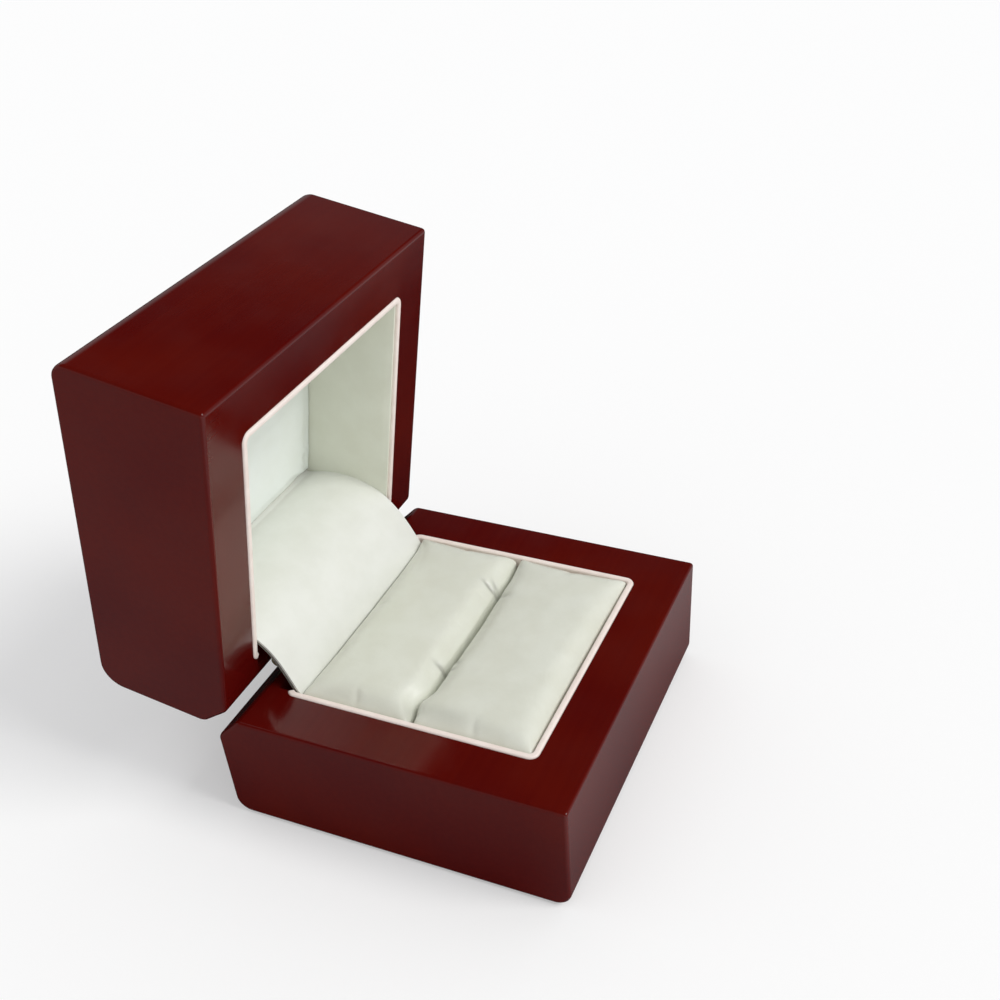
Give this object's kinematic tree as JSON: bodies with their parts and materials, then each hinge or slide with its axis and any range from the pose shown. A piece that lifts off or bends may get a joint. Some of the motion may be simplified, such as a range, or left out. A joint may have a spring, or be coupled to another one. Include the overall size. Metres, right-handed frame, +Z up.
{
  "type": "ring display box",
  "caption": "Lacquered wooden ring box standing open on its concealed hinge, with padded cushions that grip a ring and a covered flap over the hinge.",
  "frame": {"origin": "centre of the base's underside, on the felt", "axes": "+X along the hinge, to the right of someone facing the front; -Y out of the front; +Z up"},
  "size_m": [0.07, 0.0882, 0.0899],
  "materials": {
    "lacquered_wood": "high gloss lacquer",
    "felt": "short nap",
    "tray_plastic": "satin",
    "grey_card": "matt",
    "foam": "open cell",
    "pearl_leatherette": "pearl satin",
    "hinge_metal": "brushed",
    "steel": "bright"
  },
  "bodies": {
    "base": {"base_shell": "lacquered_wood", "base_felt": "felt", "base_tray": "tray_plastic", "cushion_board": "grey_card", "front_cushion_foam": "foam", "front_cushion_cover": "pearl_leatherette", "rear_cushion_foam": "foam", "rear_cushion_cover": "pearl_leatherette", "flap_card": "grey_card", "flap_cover": "pearl_leatherette", "hinge_base_leaf": "hinge_metal", "hinge_pin": "steel", "hinge_base_screws": "hinge_metal", "snap_spring_left": "steel", "snap_spring_right": "steel"},
    "lid": {"lid_shell": "lacquered_wood", "lid_tray": "tray_plastic", "lid_lining": "pearl_leatherette", "lid_pad_foam": "foam", "lid_pad_cover": "pearl_leatherette", "hinge_lid_leaf": "hinge_metal", "hinge_lid_screws": "hinge_metal"}
  },
  "joints": [
    {"name": "lid_hinge", "type": "hinge", "parent": "base", "child": "lid", "pos_m": [0, 0.0298, 0.024], "axis": [1, 0, 0], "range_deg": [0, 80], "deforming": ["flap_card", "flap_cover"]}
  ]
}
